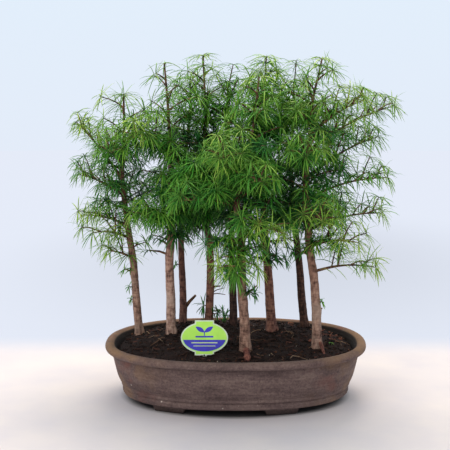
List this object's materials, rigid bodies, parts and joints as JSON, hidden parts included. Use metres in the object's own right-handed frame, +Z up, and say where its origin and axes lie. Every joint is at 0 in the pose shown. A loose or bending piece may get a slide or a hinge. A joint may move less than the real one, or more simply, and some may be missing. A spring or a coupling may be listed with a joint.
{
  "type": "golden larch forest bonsai",
  "caption": "Forest bonsai of slender golden larch trees with soft needle sprays, in soil in an oval footed stoneware tray with a small plant label.",
  "frame": {"origin": "centre of the overall box on the surface that the tray stands on, which is the tray's own centre within 4 mm", "axes": "+X along the tray's long side, +Y to its back, +Z up"},
  "size_m": [0.5195, 0.3679, 0.5299],
  "materials": {
    "stoneware": "matte",
    "potting_soil": "matte",
    "bark": "matte",
    "dark_bark": "matte",
    "needles": "matte",
    "label_plastic": "satin",
    "screen_plastic": "matte"
  },
  "bodies": {
    "root": {"tray": "stoneware", "soil": "potting_soil", "plant_label": "label_plastic", "drain_screen_left": "screen_plastic", "drain_screen_right": "screen_plastic", "trunk_1": "bark", "trunk_2": "bark", "trunk_3": "bark", "trunk_4": "bark", "trunk_5": "dark_bark", "trunk_6": "bark", "trunk_7": "bark", "trunk_8": "dark_bark", "trunk_9": "bark", "leader_1": "needles", "leader_2": "needles", "leader_3": "needles", "leader_4": "needles", "leader_5": "needles", "leader_6": "needles", "leader_7": "needles", "leader_8": "needles", "leader_9": "needles", "spray_1_1": "needles", "spray_1_2": "needles", "spray_1_3": "needles", "spray_1_4": "needles", "spray_1_5": "needles", "spray_1_6": "needles", "spray_1_7": "needles", "spray_2_1": "needles", "spray_2_2": "needles", "spray_2_3": "needles", "spray_3_1": "needles", "spray_3_2": "needles", "spray_4_1": "needles", "spray_4_2": "needles", "spray_4_3": "needles", "spray_5_1": "needles", "spray_5_2": "needles", "spray_6_1": "needles", "spray_6_2": "needles", "spray_6_3": "needles", "spray_6_4": "needles", "spray_6_5": "needles", "spray_7_1": "needles", "spray_7_2": "needles", "spray_7_3": "needles", "spray_8_1": "needles", "spray_8_2": "needles", "spray_8_3": "needles", "spray_9_1": "needles", "spray_9_2": "needles", "spray_9_3": "needles", "spray_9_4": "needles", "spray_9_5": "needles", "spray_9_6": "needles", "spray_9_7": "needles", "spray_9_8": "needles", "spray_9_9": "needles"}
  },
  "joints": []
}
